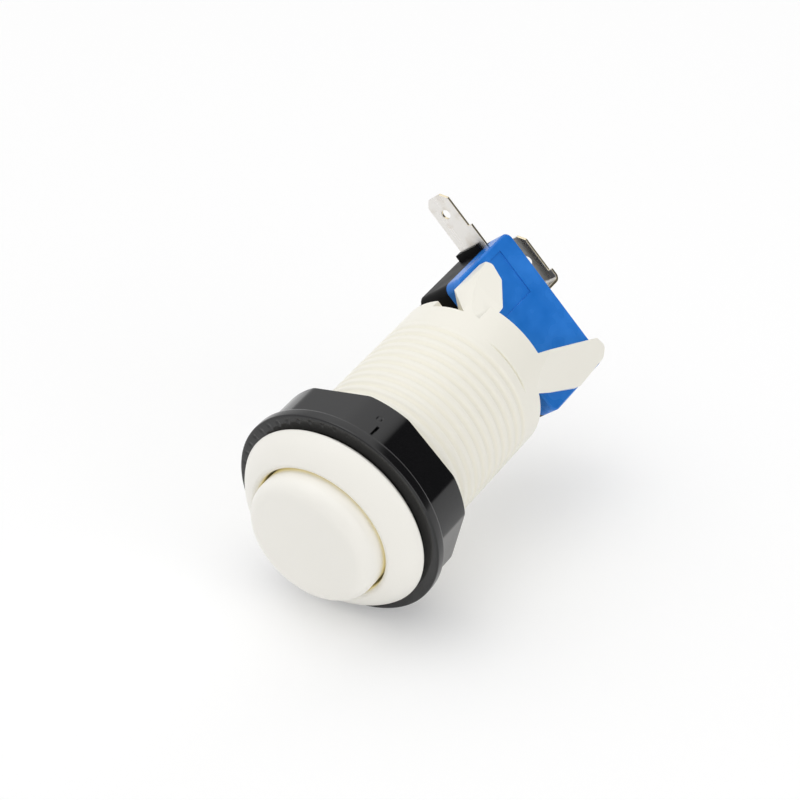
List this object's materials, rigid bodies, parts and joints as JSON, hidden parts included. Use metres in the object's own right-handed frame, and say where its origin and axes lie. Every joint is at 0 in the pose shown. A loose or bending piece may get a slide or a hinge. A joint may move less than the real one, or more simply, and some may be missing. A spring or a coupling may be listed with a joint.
{
  "type": "arcade push button",
  "caption": "Panel push button with a domed bezel, dished plunger, threaded barrel, flanged hexagon nut and a snap switch held by moulded legs at its rear.",
  "frame": {"origin": "on the button's axis, in the panel plane where the bezel's underside rests", "axes": "+Z along the axis out of the panel's front, +X along the switch's length away from its end terminal, +Y towards the switch's cover"},
  "size_m": [0.0431, 0.0362, 0.0723],
  "materials": {
    "ivory_plastic": "smooth moulded, soft gloss",
    "black_gloss_plastic": "smooth moulded, glossy",
    "black_switch_plastic": "fine moulded, satin",
    "blue_plastic": "smooth moulded, satin",
    "tinned_brass": "tin-plated strip, dull bright, bare edges",
    "spring_steel": "drawn wire",
    "spring_bronze": "rolled strip",
    "contact_silver": "bright contact"
  },
  "bodies": {
    "frame_body": {"housing": "ivory_plastic", "switch_base": "black_switch_plastic", "switch_cover": "blue_plastic", "com_terminal": "tinned_brass", "no_terminal": "tinned_brass", "fixed_contact": "contact_silver", "return_spring": "spring_steel"},
    "plunger_body": {"plunger": "ivory_plastic"},
    "nut_body": {"retaining_nut": "black_gloss_plastic"},
    "pin_body": {"switch_pin": "black_switch_plastic"},
    "blade_body": {"contact_blade": "spring_bronze", "moving_contact": "contact_silver"}
  },
  "joints": [
    {"name": "plunger_press", "type": "slide", "parent": "frame_body", "child": "plunger_body", "axis": [0, 0, -1], "range_m": [0, 0.003], "stiffness_N_per_m": 200, "springref_m": -0.004, "deforming": ["return_spring"]},
    {"name": "nut_travel", "type": "slide", "parent": "frame_body", "child": "nut_body", "axis": [0, 0, -1], "range_m": [0, 0.0238]},
    {"name": "pin_press", "type": "slide", "parent": "frame_body", "child": "pin_body", "axis": [0, 0, -1], "range_m": [0, 0.0012]},
    {"name": "blade_tilt", "type": "hinge", "parent": "frame_body", "child": "blade_body", "pos_m": [-0.0095, 0, -0.0512], "axis": [0, 1, 0], "range_deg": [0, 6.57]}
  ],
  "couplings": [
    {"joint": "pin_press", "follows": "plunger_press", "ratio": 0.4},
    {"joint": "blade_tilt", "follows": "plunger_press", "rad_per_m": 38.153}
  ]
}
